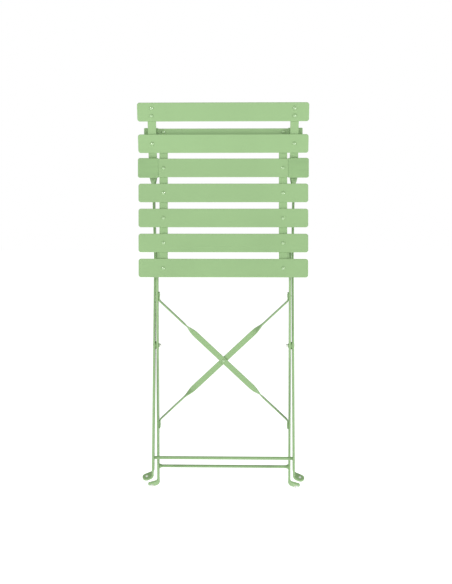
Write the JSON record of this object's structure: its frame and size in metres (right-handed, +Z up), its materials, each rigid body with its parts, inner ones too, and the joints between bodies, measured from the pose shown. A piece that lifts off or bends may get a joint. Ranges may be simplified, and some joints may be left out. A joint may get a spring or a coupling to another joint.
{
  "type": "folding bistro chair",
  "caption": "Folding garden chair of painted flat steel bar, shown folded: crossed legs turn at a scissor rivet while the slatted seat swings down level.",
  "frame": {"origin": "middle of the bounding box's underside, on the floor", "axes": "+Z up the folded chair, X across its width, the sitter's side faces -Y"},
  "size_m": [0.4126, 0.109, 0.9515],
  "materials": {
    "paint": "satin powder coat",
    "sleeve": "satin",
    "glide": "translucent white",
    "pivot_steel": "zinc plated"
  },
  "bodies": {
    "back_frame": {"back_bar_left": "paint", "back_bar_right": "paint", "back_slat_upper": "paint", "back_slat_lower": "paint", "back_rivet_left_top": "paint", "back_rivet_left_mid": "paint", "back_rivet_left_low": "paint", "back_rivet_right_top": "paint", "back_rivet_right_mid": "paint", "back_rivet_right_low": "paint", "front_stretcher": "paint", "front_glide_left": "glide", "front_glide_right": "glide", "scissor_rivet_left": "pivot_steel", "scissor_spacer_left": "paint", "scissor_rivet_right": "pivot_steel", "scissor_spacer_right": "paint"},
    "rear_legs": {"rear_leg_left": "paint", "rear_leg_right": "paint", "brace_strap_left": "paint", "brace_strap_right": "paint", "brace_rivet_centre": "paint", "brace_rivet_left_top": "paint", "brace_rivet_left_low": "paint", "brace_rivet_right_top": "paint", "brace_rivet_right_low": "paint", "rear_stretcher": "paint", "seat_pin_left": "paint", "seat_pin_right": "paint", "rear_glide_left": "glide", "rear_glide_right": "glide"},
    "seat": {"seat_rail_left": "paint", "seat_rail_right": "paint", "seat_slat_front": "paint", "seat_slat_second": "paint", "seat_slat_middle": "paint", "seat_slat_fourth": "paint", "seat_slat_rear": "paint", "seat_rear_bar": "paint", "slat_sleeve_left": "sleeve", "bar_sleeve_left": "sleeve", "slat_sleeve_right": "sleeve", "bar_sleeve_right": "sleeve", "seat_rivet_left_1": "paint", "seat_rivet_left_2": "paint", "seat_rivet_left_3": "paint", "seat_rivet_left_4": "paint", "seat_rivet_left_5": "paint", "seat_rivet_left_6": "paint", "seat_rivet_right_1": "paint", "seat_rivet_right_2": "paint", "seat_rivet_right_3": "paint", "seat_rivet_right_4": "paint", "seat_rivet_right_5": "paint", "seat_rivet_right_6": "paint"}
  },
  "joints": [
    {"name": "leg_fold", "type": "hinge", "parent": "back_frame", "child": "rear_legs", "pos_m": [0, 0.01761, 0.36164], "axis": [1, 0, 0], "range_deg": [0, 62]},
    {"name": "seat_fold", "type": "hinge", "parent": "rear_legs", "child": "seat", "pos_m": [0, 0.00582, 0.59454], "axis": [1, 0, 0], "range_deg": [-127.2, 0]}
  ],
  "couplings": [
    {"joint": "seat_fold", "follows": "leg_fold", "ratio": -2.05}
  ]
}
